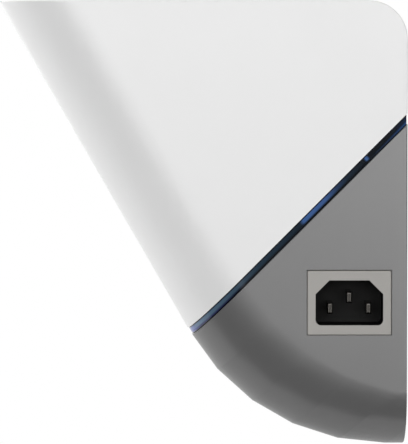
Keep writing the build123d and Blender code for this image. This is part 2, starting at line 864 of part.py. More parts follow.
def mouth(plane, growth, depth, mode=Mode.ADD):
    """The inlet mouth's outline, bevelled at its top corners, on the piece being built."""
    with BuildSketch(plane) as outline:
        with Locations((inlet_y, inlet_z)):
            Rectangle(inlet_mouth_width, inlet_mouth_height)
        chamfer(outline.vertices().group_by(Axis.Y)[-1], inlet_bevel)
        fillet(outline.vertices().group_by(Axis.Y)[0], inlet_low_radius)
        if growth:
            offset(amount=growth)
    extrude(outline.sketch, amount=depth, mode=mode)


blade_places = {
    "live_blade": (inlet_y - blade_spacing / 2, inlet_z - blade_row_drop),
    "neutral_blade": (inlet_y + blade_spacing / 2, inlet_z - blade_row_drop),
    "earth_blade": (inlet_y, inlet_z - blade_row_drop + earth_blade_rise),
}
mouth_floor = side + inlet_proud - inlet_mouth_depth
tab_end = body_back - tab_length

with BuildPart() as inlet_bezel:
    blocks(across.offset(flange_back), [(inlet_y, inlet_z)], (*flange_size, inlet_flange_thickness))
    fillet(inlet_bezel.edges().filter_by(Axis.X), bezel_corner)
    mouth(across.offset(flange_back), inlet_rim, inlet_flange_thickness, mode=Mode.SUBTRACT)
    fillet(inlet_bezel.faces().sort_by(Axis.X)[-1].outer_wire().edges(), bezel_edge)
hand_over(inlet_bezel, "inlet_bezel")

with BuildPart() as inlet_body:
    body_size = (inlet_body_width, inlet_body_height)
    blocks(across.offset(body_back), [(inlet_y, inlet_z)], (*body_size, inlet_body_depth))
    ears = (ear_width, inlet_body_height + 2 * ear_rise, -ear_length)
    blocks(across.offset(side - wall - clearance), [(inlet_y, inlet_z)], ears)
    mouth(across.offset(flange_back), inlet_rim, inlet_flange_thickness - nose_recess)
    mouth(across.offset(side + inlet_proud), 0, -inlet_mouth_depth, mode=Mode.SUBTRACT)
    blade_slot = (blade_width, blade_height, inlet_body_depth)
    blocks(across.offset(body_back), blade_places.values(), blade_slot, mode=Mode.SUBTRACT)
hand_over(inlet_body, "inlet_body")

for node, place in blade_places.items():
    with BuildPart() as blade:
        blade_size = (blade_width, blade_height, mouth_floor + blade_length - body_back)
        blocks(across.offset(body_back), [place], blade_size)
        blade_tip = blade.faces().sort_by(Axis.X)[-1]
        fillet(blade_tip.edges(), blade_rounding)
        blocks(across.offset(tab_end), [place], (tab_thickness, tab_height, tab_length))
    hand_over(blade, node)

# ---------------------------------------------------------------- mains wiring, from the blades' tabs


def off_seam(y, z):
    """A place in the room frame's Y and Z, as its place along the seam and its height off it."""
    local = seam.to_local_coords(Vector(0, y, z))
    return (local.Y, local.Z)


for node, blade_node, entry_u in (
    ("live_wire", "live_blade", terminal_wires[0]),
    ("neutral_wire", "neutral_blade", terminal_wires[1]),
):
    wire_end = (entry_u, terminal_wire_height)
    wire_points = [
        (tab_end, *off_seam(*blade_places[blade_node])),
        (tab_end - wire_run, *off_seam(*blade_places[blade_node])),
        (supply_right + wire_run, *wire_end),
        (supply_right, *wire_end),
    ]
    with BuildPart() as wire:
        lead(seam, wire_points, wire_bend, wire_radius)
    hand_over(wire, node)

with BuildPart() as earth_wire:
    lug_under = tray_under - lug_thickness
    wire_level = tray_under - wire_radius
    earth_points = [
        (tab_end, *off_seam(*blade_places["earth_blade"])),
        (tab_end - wire_run, *off_seam(*blade_places["earth_blade"])),
        (earth_at[0] - 4 * wire_run, earth_at[1], wire_level),
        (earth_at[0] - lug_radius, earth_at[1], wire_level),
    ]
    lead(seam, earth_points, wire_bend, wire_radius)
    rods(seam.offset(lug_under), [earth_at], lug_radius, lug_thickness)
    lug_neck = (earth_at[0] - lug_radius - wire_run / 4, earth_at[1])
    blocks(seam.offset(lug_under), [lug_neck], (lug_radius + wire_run / 2, 2 * wire_radius, lug_thickness))
    rods(seam.offset(lug_under), [earth_at], screw_clear, lug_thickness, mode=Mode.SUBTRACT)
hand_over(earth_wire, "earth_wire")

with BuildPart() as earth_screw:
    earth_seat = Plane(origin=seam.offset(lug_under).origin, x_dir=(1, 0, 0), z_dir=-seam_normal)
    pan_screws(earth_seat, under([earth_at]), lug_thickness + tray_thickness)
hand_over(earth_screw, "earth_screw")

# ---------------------------------------------------------------- port board, on the left wall's posts

with BuildPart() as port_board:
    port_board_sheet(0)
    rods(across.offset(port_board_face), port_posts, screw_clear, board_thickness, mode=Mode.SUBTRACT)
hand_over(port_board, "port_board")

with BuildPart() as port_board_screws:
    pan_screws(across.offset(port_board_back_face), port_posts, screw_length)
hand_over(port_board_screws, "port_board_screws")


def jack_mouth(plane, growth, depth, centre):
    """Cuts a network jack's mouth, with the notch for the plug's latch under it."""
    mouth_size = (jack_mouth_width + growth, jack_mouth_height + growth, depth)
    blocks(plane, [centre], mouth_size, mode=Mode.SUBTRACT)
    notch = (centre[0], centre[1] - jack_mouth_height / 2 - notch_height / 2)
    blocks(plane, [notch], (notch_width + growth, notch_height + growth, depth), mode=Mode.SUBTRACT)


for number, place in enumerate(jacks_at, start=1):
    jack_front = left_side.offset(jack_recess)
    mouth_place = (place[0], place[1] + mouth_rise)
    with BuildPart() as jack_shell:
        blocks(jack_front, [place], (jack_width, jack_height, jack_depth))
        inner = (jack_width - 2 * jack_skin, jack_height - 2 * jack_skin, jack_depth - jack_skin)
        blocks(jack_front.offset(jack_skin), [place], inner, mode=Mode.SUBTRACT)
        jack_mouth(jack_front, 2 * jack_skin, jack_skin, mouth_place)
    hand_over(jack_shell, f"lan_jack_{number}_shell")
    with BuildPart() as jack_insert:
        blocks(jack_front.offset(jack_skin), [place], inner)
        jack_mouth(jack_front, 0, jack_mouth_depth, mouth_place)
    hand_over(jack_insert, f"lan_jack_{number}_insert")
    with BuildPart() as jack_contacts:
        contact_deep = jack_recess + jack_mouth_depth - side
        contact_tip = contact_deep - contact_length
        contact_top = mouth_place[1] + jack_mouth_height / 2 - contact_gap
        with BuildSketch(Plane.XZ.offset(-mouth_place[0])):
            with BuildLine():
                Polyline(
                    (contact_deep, contact_top),
                    (contact_deep, contact_top - contact_size),
                    (contact_tip, contact_top - contact_slant - contact_size),
                    (contact_tip, contact_top - contact_slant),
                    close=True,
                )
            make_face()
        extrude(amount=contact_size / 2, both=True)
        contact = jack_contacts.part
        for step in range(contact_count):
            contact_shift = (step - (contact_count - 1) / 2) * contact_pitch
            add(contact.moved(Location((0, contact_shift, 0))), mode=Mode.ADD if step else Mode.REPLACE)
    hand_over(jack_contacts, f"lan_jack_{number}_contacts")

# ---------------------------------------------------------------- pairing button and reset button

inner_wall = wall - side
switch_front = port_board_face - switch_height
pair_at = [(pair_y, pair_z)]
reset_at = [(reset_y, reset_z)]

with BuildPart() as pair_button:
    rods(across.offset(-side - pair_proud), pair_at, pair_radius, pair_proud + wall + fit)
    fillet(pair_button.faces().sort_by(Axis.X)[0].edges(), pair_rounding)
    rods(across.offset(inner_wall + fit), pair_at, pair_radius + pair_flange, flange_thickness)
    stem_length = switch_front + plunger_grip - inner_wall - fit
    rods(across.offset(inner_wall + fit), pair_at, plunger_radius, stem_length)
hand_over(pair_button, "pair_button")

with BuildPart() as reset_button:
    rods(across.offset(inner_wall + reset_gap), reset_at, reset_radius, flange_thickness)
    stem_length = switch_front + plunger_grip - inner_wall - reset_gap
    rods(across.offset(inner_wall + reset_gap), reset_at, plunger_radius, stem_length)
hand_over(reset_button, "reset_button")

for node, places in (("pair_switch", pair_at), ("reset_switch", reset_at)):
    with BuildPart() as tact_switch:
        blocks(across.offset(switch_front), places, (switch_size, switch_size, switch_height), rounding=0.4)
        bore_depth = plunger_grip + pair_travel + fit
        rods(across.offset(switch_front), places, plunger_radius + fit, bore_depth, mode=Mode.SUBTRACT)
    hand_over(tact_switch, node)

# ---------------------------------------------------------------- ribbon between the two boards

with BuildPart() as ribbon_sockets:
    high_socket = (ribbon_end + high_socket_size[0] / 2, ribbon_u)
    blocks(seam.offset(board_top), [high_socket], high_socket_size)
    blocks(seam.offset(ribbon_low), [(ribbon_x, ribbon_u)], low_socket_size)
hand_over(ribbon_sockets, "ribbon_sockets")

with BuildPart() as port_ribbon:
    ribbon_top = board_top + high_socket_size[2] / 2
    with BuildLine(seam) as ribbon_route:
        FilletPolyline(
            (ribbon_x, ribbon_u, ribbon_low),
            (ribbon_x, ribbon_u, ribbon_top),
            (ribbon_end, ribbon_u, ribbon_top),
            radius=ribbon_bend,
        )
    ribbon_start = Plane(origin=ribbon_route.wire() @ 0, x_dir=(1, 0, 0), z_dir=seam_normal)
    with BuildSketch(ribbon_start) as ribbon_section:
        Rectangle(ribbon_thickness, ribbon_width)
    sweep(ribbon_section.sketch, path=ribbon_route.wire())
hand_over(port_ribbon, "port_ribbon")

# ---------------------------------------------------------------- aerials, taped to the cover's side walls

aerial_outside = side - wall
aerial_inside = aerial_outside - tape_thickness - aerial_thickness
for node, sign in (("left_aerial", -1), ("right_aerial", 1)):
    # local x is along the seam, and z points from the wall into the casing
    aerial_wall = Plane(
        origin=seam.from_local_coords((sign * aerial_outside, aerial_u, aerial_h)),
        x_dir=seam.y_dir,
        z_dir=(-sign, 0, 0),
    )
    with BuildPart() as aerial:
        blocks(aerial_wall, [(0, 0)], (aerial_size[0] - 6.0, aerial_size[1] - 6.0, tape_thickness))
        blocks(aerial_wall.offset(tape_thickness), [(0, 0)], (*aerial_size, aerial_thickness))
    hand_over(aerial, node)
    with BuildPart() as aerial_lead:
        start_x = sign * (aerial_inside - coax_radius)
        coax_points = [
            (start_x, aerial_u, aerial_h),
            (start_x, aerial_u, aerial_h - aerial_size[1]),
            (sign * aerial_socket_x, aerial_u, board_top + aerial_size[1] / 2),
            (sign * aerial_socket_x, aerial_u, board_top + aerial_socket_height),
        ]
        lead(seam, coax_points, coax_bend, coax_radius)
    hand_over(aerial_lead, f"{node}_lead")
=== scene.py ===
import math

import bmesh
import bpy
from mathutils import Euler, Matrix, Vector


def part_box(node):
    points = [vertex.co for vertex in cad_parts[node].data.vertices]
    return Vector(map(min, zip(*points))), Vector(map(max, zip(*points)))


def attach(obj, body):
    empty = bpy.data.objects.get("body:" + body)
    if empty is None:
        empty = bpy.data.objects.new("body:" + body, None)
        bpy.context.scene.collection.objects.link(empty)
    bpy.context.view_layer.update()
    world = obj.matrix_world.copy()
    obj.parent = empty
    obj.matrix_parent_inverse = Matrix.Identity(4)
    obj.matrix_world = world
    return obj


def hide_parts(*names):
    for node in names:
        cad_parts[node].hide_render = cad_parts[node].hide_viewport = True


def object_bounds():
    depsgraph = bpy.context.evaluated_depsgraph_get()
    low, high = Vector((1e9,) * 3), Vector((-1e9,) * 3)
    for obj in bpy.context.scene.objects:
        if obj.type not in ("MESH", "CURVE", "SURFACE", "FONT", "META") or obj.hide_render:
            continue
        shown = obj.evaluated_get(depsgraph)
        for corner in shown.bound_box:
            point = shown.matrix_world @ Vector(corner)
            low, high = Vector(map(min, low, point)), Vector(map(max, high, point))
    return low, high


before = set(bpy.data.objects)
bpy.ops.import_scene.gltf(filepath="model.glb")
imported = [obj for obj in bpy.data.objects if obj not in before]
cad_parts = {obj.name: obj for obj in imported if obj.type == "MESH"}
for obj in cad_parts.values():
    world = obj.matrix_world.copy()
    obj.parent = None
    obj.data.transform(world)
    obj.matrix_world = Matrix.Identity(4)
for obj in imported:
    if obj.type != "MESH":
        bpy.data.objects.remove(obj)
cad_low, cad_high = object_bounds()

# ------------------------------------------------------------------ upper cover
# The upper cover is one white ABS moulding with a 2.6 mm wall, clipped over the housing. Its
# tool was spark-eroded to a fine satin, and its rims and vent slots come out with small radii.
MM = 0.001
SIDE = 70.0  # a side wall's outside, in mm from the middle
TOP = 81.75
BACK_RIM_TOP, BACK_RIM_FOOT = 66.0, -74.0  # the back's outside rim lies beyond these heights
SEAM_HEIGHT = 27.457  # the seam's plane, along its own normal, from the origin
SEAM_HALF = 1.6  # from the seam's middle to past the rims beside it
SLOTS_WIDE, SLOTS_BACK = 40.0, -25.0  # the vent slots lie within these
NEAR = 0.02  # mm: a point this near a face is on it
SAME_POINT = 0.002  # mm
SAME_FACE = 0.4  # degrees
TURNED_EDGE = 30.0  # degrees: a fold past this is an edge and not part of a curve
NOISE_LOW, NOISE_HIGH = 0.3, 0.7  # a noise texture hardly leaves this range
rim_radius = 0.5
slot_radius = 0.25
scene = bpy.context.scene


def linear(hex_colour):
    """An sRGB hex colour as linear RGBA."""
    parts = [int(hex_colour[i : i + 2], 16) / 255 for i in (1, 3, 5)]
    return (*(c / 12.92 if c <= 0.04045 else ((c + 0.055) / 1.055) ** 2.4 for c in parts), 1.0)


def add_node(tree, kind, settings=None, values=None, links=None):
    """Adds one node with its settings, its socket values and the sockets that feed it."""
    node = tree.nodes.new(kind)
    for name, value in (settings or {}).items():
        setattr(node, name, value)
    for name, value in (values or {}).items():
        node.inputs[name].default_value = value
    for name, socket in (links or {}).items():
        tree.links.new(socket, node.inputs[name])
    return node


def start_material(name, rough=0.5, metallic=0.0, ior=1.5):
    """A material with its shader, and the object's own coordinates to hang patterns on."""
    material = bpy.data.materials.new(name)
    material.use_nodes = True
    tree = material.node_tree
    tree.nodes.clear()
    values = {"Roughness": rough, "Metallic": metallic, "IOR": ior}
    shader = add_node(tree, "ShaderNodeBsdfPrincipled", None, values)
    add_node(tree, "ShaderNodeOutputMaterial", None, None, {"Surface": shader.outputs[0]})
    place = add_node(tree, "ShaderNodeTexCoord").outputs["Object"]
    return material, tree, shader, place


def moulded(name, dark, light, rough, grain=0.7, depth=0.012, drift=28.0, gloss=0.5):
    """A moulded plastic: its colour drifts over that many mm, and pits of that grain and
    depth, in mm, roughen it."""
    uneven = 0.03  # how far the roughness strays
    material, tree, shader, place = start_material(name, rough, ior=1.54)
    shader.inputs["Specular IOR Level"].default_value = gloss
    slow, fine = (
        add_node(
            tree,
            "ShaderNodeTexNoise",
            None,
            {"Scale": 1 / (size * MM), "Detail": 1.5},
            {"Vector": place},
        ).outputs[0]
        for size in (drift, grain)
    )
    colour = add_node(
        tree,
        "ShaderNodeMix",
        {"data_type": "RGBA"},
        {6: linear(dark), 7: linear(light)},
        {0: slow},
    )
    polish = add_node(
        tree,
        "ShaderNodeMapRange",
        None,
        {
            "From Min": NOISE_LOW,
            "From Max": NOISE_HIGH,
            "To Min": rough - uneven,
            "To Max": rough + uneven,
        },
        {"Value": fine},
    )
    pits = add_node(
        tree, "ShaderNodeBump", None, {"Strength": 0.5, "Distance": depth * MM}, {"Height": fine}
    )
    tree.links.new(colour.outputs[2], shader.inputs["Base Color"])
    tree.links.new(polish.outputs[0], shader.inputs["Roughness"])
    tree.links.new(pits.outputs[0], shader.inputs["Normal"])
    return material


def only(piece):
    """Leaves just this piece selected, and active."""
    bpy.ops.object.select_all(action="DESELECT")
    piece.select_set(True)
    bpy.context.view_layer.objects.active = piece


def merged_copy(node, name, whole_faces):
    """A copy of a CAD node with its triangles joined up, or merged into whole faces."""
    piece = bpy.data.objects.new(name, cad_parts[node].data.copy())
    piece.data.materials.clear()
    scene.collection.objects.link(piece)
    only(piece)
    bpy.ops.mesh.customdata_custom_splitnormals_clear()
    bpy.ops.object.mode_set(mode="EDIT")
    bpy.ops.mesh.select_all(action="SELECT")
    bpy.ops.mesh.remove_doubles(threshold=SAME_POINT * MM)
    bpy.ops.mesh.mark_sharp(clear=True)
    if whole_faces:
        bpy.ops.mesh.dissolve_limited(angle_limit=math.radians(SAME_FACE))
    bpy.ops.object.mode_set(mode="OBJECT")
    return piece


def pick_edges(piece, least_fold, chosen):
    """Goes into edit mode with the edges selected that fold more than that many degrees and
    whose ends, in mm, pass a test."""
    only(piece)
    bpy.ops.object.mode_set(mode="EDIT")
    bpy.ops.mesh.select_mode(type="EDGE")
    bpy.ops.mesh.select_all(action="DESELECT")
    mesh = bmesh.from_edit_mesh(piece.data)
    for edge in mesh.edges:
        fold = math.degrees(edge.calc_face_angle(0))
        if fold > least_fold and chosen(edge.verts[0].co / MM, edge.verts[1].co / MM):
            edge.select_set(True)
    bmesh.update_edit_mesh(piece.data)


def round_edges(piece, radius, steps, chosen):
    """Rounds the sharp edges whose ends, in mm, pass a test."""
    pick_edges(piece, TURNED_EDGE, chosen)
    bpy.ops.mesh.bevel(offset=radius * MM, segments=steps, affect="EDGES")
    bpy.ops.object.mode_set(mode="OBJECT")


def cut_to_triangles(piece):
    """Cuts the faces into well-shaped triangles, so that a face with holes shades evenly."""
    only(piece)
    bpy.ops.object.mode_set(mode="EDIT")
    bpy.ops.mesh.select_all(action="SELECT")
    bpy.ops.mesh.quads_convert_to_tris(quad_method="BEAUTY", ngon_method="BEAUTY")
    bpy.ops.object.mode_set(mode="OBJECT")


def finish_piece(piece, material, node):
    """Gives a piece smooth curves, its material and its body, and hides the CAD node it stands
    for.
    """
    only(piece)
    bpy.ops.object.shade_smooth_by_angle(angle=math.radians(TURNED_EDGE))
    modifier = piece.modifiers.new("flat_faces_stay_flat", "WEIGHTED_NORMAL")
    modifier.keep_sharp = True
    bpy.ops.object.modifier_apply(modifier=modifier.name)
    piece.data.materials.append(material)
    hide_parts(node)
    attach(piece, "casing")


def along_seam_normal(point):
    """How far a point, in mm, stands off the seam's plane."""
    return (point.z - point.y) / math.sqrt(2) - SEAM_HEIGHT


def on_side_wall(a, b):
    return min(abs(a.x), abs(b.x)) > SIDE - NEAR


def on_top(a, b):
    return min(a.z, b.z) > TOP - NEAR


def at_back(a, b):
    return min(a.y, b.y) > -NEAR


def by_seam(a, b):
    return max(abs(along_seam_normal(a)), abs(along_seam_normal(b))) < SEAM_HALF


def on_outline(a, b):
    """On the outside rim of the moulding: round a side wall, the top or the back."""
    back_rim = at_back(a, b) and (
        max(a.z, b.z) > BACK_RIM_TOP or min(a.z, b.z) < BACK_RIM_FOOT
    )
    return (on_side_wall(a, b) or on_top(a, b) or back_rim) and not by_seam(a, b)


def in_vents(a, b):
    within = max(abs(a.x), abs(b.x)) < SLOTS_WIDE and max(a.y, b.y) < SLOTS_BACK
    return on_top(a, b) and within


def on_rim(a, b):
    return on_outline(a, b) and not in_vents(a, b)


# White ABS with titanium dioxide is bright and neutral. Its spark-eroded grain of 0.15 mm is
# too fine to see, so it is drawn at 0.7 mm.
white_abs = moulded("white_ABS_satin", "#DADADA", "#DEDEDE", rough=0.40)
cover = merged_copy("upper_cover", "cover_moulding", whole_faces=True)
round_edges(cover, slot_radius, steps=2, chosen=in_vents)
round_edges(cover, rim_radius, steps=3, chosen=on_rim)
cut_to_triangles(cover)
finish_piece(cover, white_abs, "upper_cover")

# ------------------------------------------------------------------ lower housing
# The lower housing is a grey ABS moulding of the same wall, with five flats under its belly,
# cut for the inlet, the jacks and the buttons. The plate, tray and jack board screw to it.
opening_radius = 0.25
openings_low, openings_high = -45.0, 5.0
openings_front = -1.0  # mm, so that the rim of the back is left out
straight_edge = 4.0  # mm: round holes are drawn with shorter edges than this
crease_fold = 0.5  # degrees
same_height = 0.05  # mm

# Grey ABS from the same kind of tool but glossier, so that its rounded corners mirror the
# dark room beside them.
grey_abs = moulded("grey_ABS_satin", "#5B5B5B", "#5F5F5F", rough=0.32, gloss=0.74)
housing = merged_copy("lower_housing", "housing_moulding", whole_faces=False)


def at_opening(a, b):
    """A straight edge of the inlet's or the jacks' hole in a side wall."""
    at_height = min(a.z, b.z) > openings_low and max(a.z, b.z) < openings_high
    in_wall = on_side_wall(a, b) and max(a.y, b.y) < openings_front
    return in_wall and at_height and (a - b).length > straight_edge


def on_crease(a, b):
    """Between two of the belly's flats, which meet along lines parallel to the seam."""
    level = abs(along_seam_normal(a) - along_seam_normal(b)) < same_height
    return level and along_seam_normal(a) < -SEAM_HALF


def at_back_rim(a, b):
    return on_outline(a, b) and at_back(a, b)


round_edges(housing, opening_radius, steps=2, chosen=at_opening)
round_edges(housing, rim_radius, steps=3, chosen=at_back_rim)
pick_edges(housing, crease_fold, on_crease)
bpy.ops.mesh.mark_sharp()
bpy.ops.object.mode_set(mode="OBJECT")
finish_piece(housing, grey_abs, "lower_housing")

# ------------------------------------------------------------------ seam light
# A hoop of dark blue tinted polycarbonate fills the seam, 2.6 mm high and polished on its
# face. Behind it a white flexible strip carries the lamps. The band's blue lengths are
# painted highlights and reflections, and its black edges are painted shadow.
SEAM_TURN = Euler((math.radians(-45), 0, 0))  # lays the seam's plane level
seam_front = -84.38  # the hoop's front end, along the seam
seam_length = 111.8
band_half = 1.3
upper_from = -0.8  # mm from the band's middle: below this the lower half's colours rule
# Painted shadow: the band's face is painted black near its edges, where the gaps beside it fall in
# shade.
shadow_edge_from, shadow_edge_to = 0.5, 0.1  # mm inside the band's edge: the face turns black between them
# Painted highlights and reflections along the band, one table for each half; the upper half is
# painted lighter than the lower.
painted_reflections_above = (  # mm from the front, and the colour of the band's upper half there
    (0.0, "#6A72B0"),
    (1.2, "#46569E"),
    (4.0, "#5E748E"),
    (9.0, "#52697E"),
    (24.0, "#384C5E"),
    (36.0, "#1D3142"),
    (57.5, "#13212F"),
    (58.8, "#3A5E98"),
    (70.0, "#365790"),
    (76.0, "#24395A"),
    (81.0, "#182636"),
    (90.3, "#10181F"),
    (90.8, "#3C629B"),
    (91.5, "#3C629B"),
    (92.0, "#0A1018"),
    (104.0, "#0B1119"),
    (111.8, "#0F2038"),
)
painted_reflections_below = (
    (0.0, "#4C56B4"),
    (1.4, "#364494"),
    (5.0, "#34365E"),
    (24.0, "#12182A"),
    (40.0, "#0A121C"),
    (58.8, "#0B1322"),
    (92.0, "#0A1018"),
    (102.0, "#0F2645"),
    (111.8, "#1C4478"),
)


def finish_nodes(material, *names):
    """Gives CAD nodes their finish."""
    for name in names:
        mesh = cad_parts[name].data
        mesh.materials.clear()
        mesh.materials.append(material)


# Tinted polycarbonate, polished: nearly black, with blue highlights and reflections painted
# into its colour along the band, and painted shadow black along its own edges. A hard smooth
# face that mirrors dimly.
tinted, tree, shader, place = start_material("tinted_polycarbonate_painted_reflections", rough=0.12, ior=1.58)
shader.inputs["Specular IOR Level"].default_value = 0.3
turned = add_node(
    tree,
    "ShaderNodeMapping",
    None,
    {"Rotation": SEAM_TURN, "Location": (0, 0, -SEAM_HEIGHT * MM)},
    {"Vector": place},
)
axes = add_node(tree, "ShaderNodeSeparateXYZ", None, None, {0: turned.outputs[0]})
along = add_node(
    tree,
    "ShaderNodeMapRange",
    None,
    {"From Min": seam_front * MM, "From Max": (seam_front + seam_length) * MM},
    {"Value": axes.outputs["Y"]},
)
halves = []
for stops in (painted_reflections_below, painted_reflections_above):
    ramp = add_node(tree, "ShaderNodeValToRGB", None, None, {0: along.outputs[0]})
    points = ramp.color_ramp.elements
    while len(points) < len(stops):
        points.new(0.5)
    # all the places come before the colours, since a moved point changes its rank
    for point, (start, _) in zip(points, stops):
        point.position = start / seam_length
    for point, (_, colour) in zip(points, stops):
        point.color = linear(colour)
    halves.append(ramp.outputs[0])
upper_share = add_node(
    tree,
    "ShaderNodeMapRange",
    {"interpolation_type": "SMOOTHSTEP"},
    {"From Min": upper_from * MM, "From Max": 0.0},
    {"Value": axes.outputs["Z"]},
)
painted_reflection_tone = add_node(
    tree,
    "ShaderNodeMix",
    {"data_type": "RGBA"},
    None,
    {0: upper_share.outputs[0], 6: halves[0], 7: halves[1]},
)
off_middle = add_node(
    tree, "ShaderNodeMath", {"operation": "ABSOLUTE"}, None, {0: axes.outputs["Z"]}
)
# Painted shadow: black towards the band's edges, where the gaps beside it fall in shade.
painted_shadow_share = add_node(
    tree,
    "ShaderNodeMapRange",
    {"interpolation_type": "SMOOTHSTEP"},
    {"From Min": (band_half - shadow_edge_from) * MM, "From Max": (band_half - shadow_edge_to) * MM},
    {"Value": off_middle.outputs[0]},
)
face = add_node(
    tree,
    "ShaderNodeMix",
    {"data_type": "RGBA"},
    {7: linear("#04060A")},
    {0: painted_shadow_share.outputs[0], 6: painted_reflection_tone.outputs[2]},
)
tree.links.new(face.outputs[2], shader.inputs["Base Color"])
finish_nodes(tinted, "light_ring")

# White polyimide with a matt solder mask, and lamps of white resin round yellow phosphor.
strip_film = moulded(
    "white_flexible_circuit", "#E4E2D8", "#ECEAE2", rough=0.45, grain=0.4, depth=0.004
)
finish_nodes(strip_film, "led_strip")
lamp_resin = moulded(
    "phosphor_lamp", "#EFE6B8", "#F4EFD6", rough=0.25, grain=1.2, depth=0.002, drift=2.0
)
finish_nodes(lamp_resin, "leds")

# ------------------------------------------------------------------ back plate
# A flat dark grey ABS moulding closes the back, let in flush and held by six screws. Two
# keyholes near its top hang the node on a wall.
plate_rim = 0.35
plate_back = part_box("back_plate")[1][1] / MM

# Dark ABS from a coarser eroded tool, 0.4 mm grain, drawn at 0.8 mm: matt, with faint haze.
dark_abs = moulded("dark_grey_ABS", "#2B2C2D", "#303132", rough=0.52, grain=0.8, depth=0.02)
plate = merged_copy("back_plate", "back_plate_moulding", whole_faces=True)
round_edges(
    plate, plate_rim, steps=3, chosen=lambda a, b: min(a.y, b.y) > plate_back - NEAR
)
finish_piece(plate, dark_abs, "back_plate")


def plated(name, dark, light, rough, grain, stretch=(1, 1, 1), depth=0.003):
    """A metal: fine marks of that size in mm, drawn out along the axes that stretch shrinks,
    that change its tone, its polish and its relief."""
    uneven = 0.06
    material, tree, shader, place = start_material(name, rough, metallic=1.0)
    drawn = add_node(tree, "ShaderNodeMapping", None, {"Scale": stretch}, {"Vector": place})
    marks = add_node(
        tree,
        "ShaderNodeTexNoise",
        None,
        {"Scale": 1 / (grain * MM), "Detail": 3.0},
        {"Vector": drawn.outputs[0]},
    ).outputs[0]
    tone = add_node(
        tree,
        "ShaderNodeMix",
        {"data_type": "RGBA"},
        {6: linear(dark), 7: linear(light)},
        {0: marks},
    )
    polish = add_node(
        tree,
        "ShaderNodeMapRange",
        None,
        {
            "From Min": NOISE_LOW,
            "From Max": NOISE_HIGH,
            "To Min": rough - uneven,
            "To Max": rough + uneven,
        },
        {"Value": marks},
    )
    relief = add_node(
        tree, "ShaderNodeBump", None, {"Strength": 0.4, "Distance": depth * MM}, {"Height": marks}
    )
    tree.links.new(tone.outputs[2], shader.inputs["Base Color"])
    tree.links.new(polish.outputs[0], shader.inputs["Roughness"])
    tree.links.new(relief.outputs[0], shader.inputs["Normal"])
    return material


# Bright zinc on cold-headed steel: pale, slightly blue, tumbled smooth in the barrel.
zinc = plated("zinc_plated_steel", "#8E9196", "#B4B7BB", rough=0.32, grain=0.6)
finish_nodes(
    zinc, "plate_screws", "tray_screws", "board_screws", "port_board_screws", "earth_screw"
)

# ------------------------------------------------------------------ chassis tray
# The tray is pressed from 1.6 mm galvanised sheet and hung under the seam. The main board
# stands on it, and the supply board hangs below it.
spangle_size = 9.0

# Hot-dip galvanised steel: zinc crystals some 9 mm across, each with its own tone and polish.
galvanised, tree, shader, place = start_material("galvanised_sheet_steel", rough=0.4, metallic=1.0)
crystals = add_node(
    tree, "ShaderNodeTexVoronoi", None, {"Scale": 1 / (spangle_size * MM)}, {"Vector": place}
)
tone = add_node(
    tree,
    "ShaderNodeMix",
    {"data_type": "RGBA"},
    {6: linear("#8D9195"), 7: linear("#BFC3C7")},
    {0: crystals.outputs["Color"]},
)
polish = add_node(
    tree,
    "ShaderNodeMapRange",
    None,
    {"To Min": 0.3, "To Max": 0.5},
    {"Value": crystals.outputs["Color"]},
)
tree.links.new(tone.outputs[2], shader.inputs["Base Color"])
tree.links.new(polish.outputs[0], shader.inputs["Roughness"])
finish_nodes(galvanised, "chassis_tray")

# ------------------------------------------------------------------ main board
# A four-layer glass-epoxy board on brass standoffs carries the processor under its heatsink,
# two memory chips, three shielded radios and the sockets.
track_pitch, track_width, track_height = 1.3, 0.16, 0.035  # mm
track_run = 9  # pitches, from one jog to the next


def circuit_board(name, mask, track):
    """Glass-epoxy under solder mask, with tracks that run in blocks, square to the board."""
    material, tree, shader, place = start_material(name, rough=0.32)
    turned = add_node(tree, "ShaderNodeMapping", None, {"Rotation": SEAM_TURN}, {"Vector": place})
    tracks = add_node(
        tree,
        "ShaderNodeTexBrick",
        {"offset": 0.37, "squash": 0.6, "squash_frequency": 3},
        {
            "Color1": linear(mask),
            "Color2": linear(mask),
            "Mortar": linear(track),
            "Scale": 1.0,
            "Mortar Size": track_width * MM,
            "Brick Width": track_run * track_pitch * MM,
            "Row Height": track_pitch * MM,
        },
        {"Vector": turned.outputs[0]},
    )
    relief = add_node(
        tree,
        "ShaderNodeBump",
        None,
        {"Strength": 0.4, "Distance": track_height * MM},
        {"Height": tracks.outputs["Fac"]},
    )
    tree.links.new(tracks.outputs["Color"], shader.inputs["Base Color"])
    tree.links.new(relief.outputs[0], shader.inputs["Normal"])
    return material


# Green mask over copper: the tracks under it show a lighter green and stand 35 microns up.
green_mask = circuit_board("green_solder_mask", "#0C4A26", "#1C6B3A")
finish_nodes(green_mask, "main_board", "port_board")

# Black epoxy moulding compound: matt, with a fine sandy tooth from its silica filler.
epoxy = moulded("epoxy_moulding_compound", "#101012", "#19191B", rough=0.55, grain=0.5, depth=0.01)
finish_nodes(epoxy, "processor", "memory_chips", "bridge_rectifier", "supply_switch")

# Turned brass with a thin nickel flash, so it stays a little yellow.
brass = plated(
    "nickel_flashed_brass", "#A88F52", "#C7B071", rough=0.3, grain=0.5, stretch=(1, 4, 4)
)
finish_nodes(brass, "board_standoffs")

# Extruded aluminium, etched and clear anodised: die lines run along the fins.
aluminium = plated(
    "extruded_aluminium", "#A9ABAD", "#C2C4C6", rough=0.42, grain=0.9, stretch=(1, 0.08, 0.08)
)
finish_nodes(aluminium, "heatsink", "supply_heatsink")

# Tinplate cans, drawn and bright, with a faint rolled grain.
tinplate = plated("tinplate", "#A6A8A9", "#C4C6C8", rough=0.28, grain=0.8, stretch=(0.1, 1, 1))
finish_nodes(tinplate, "radio_shields")

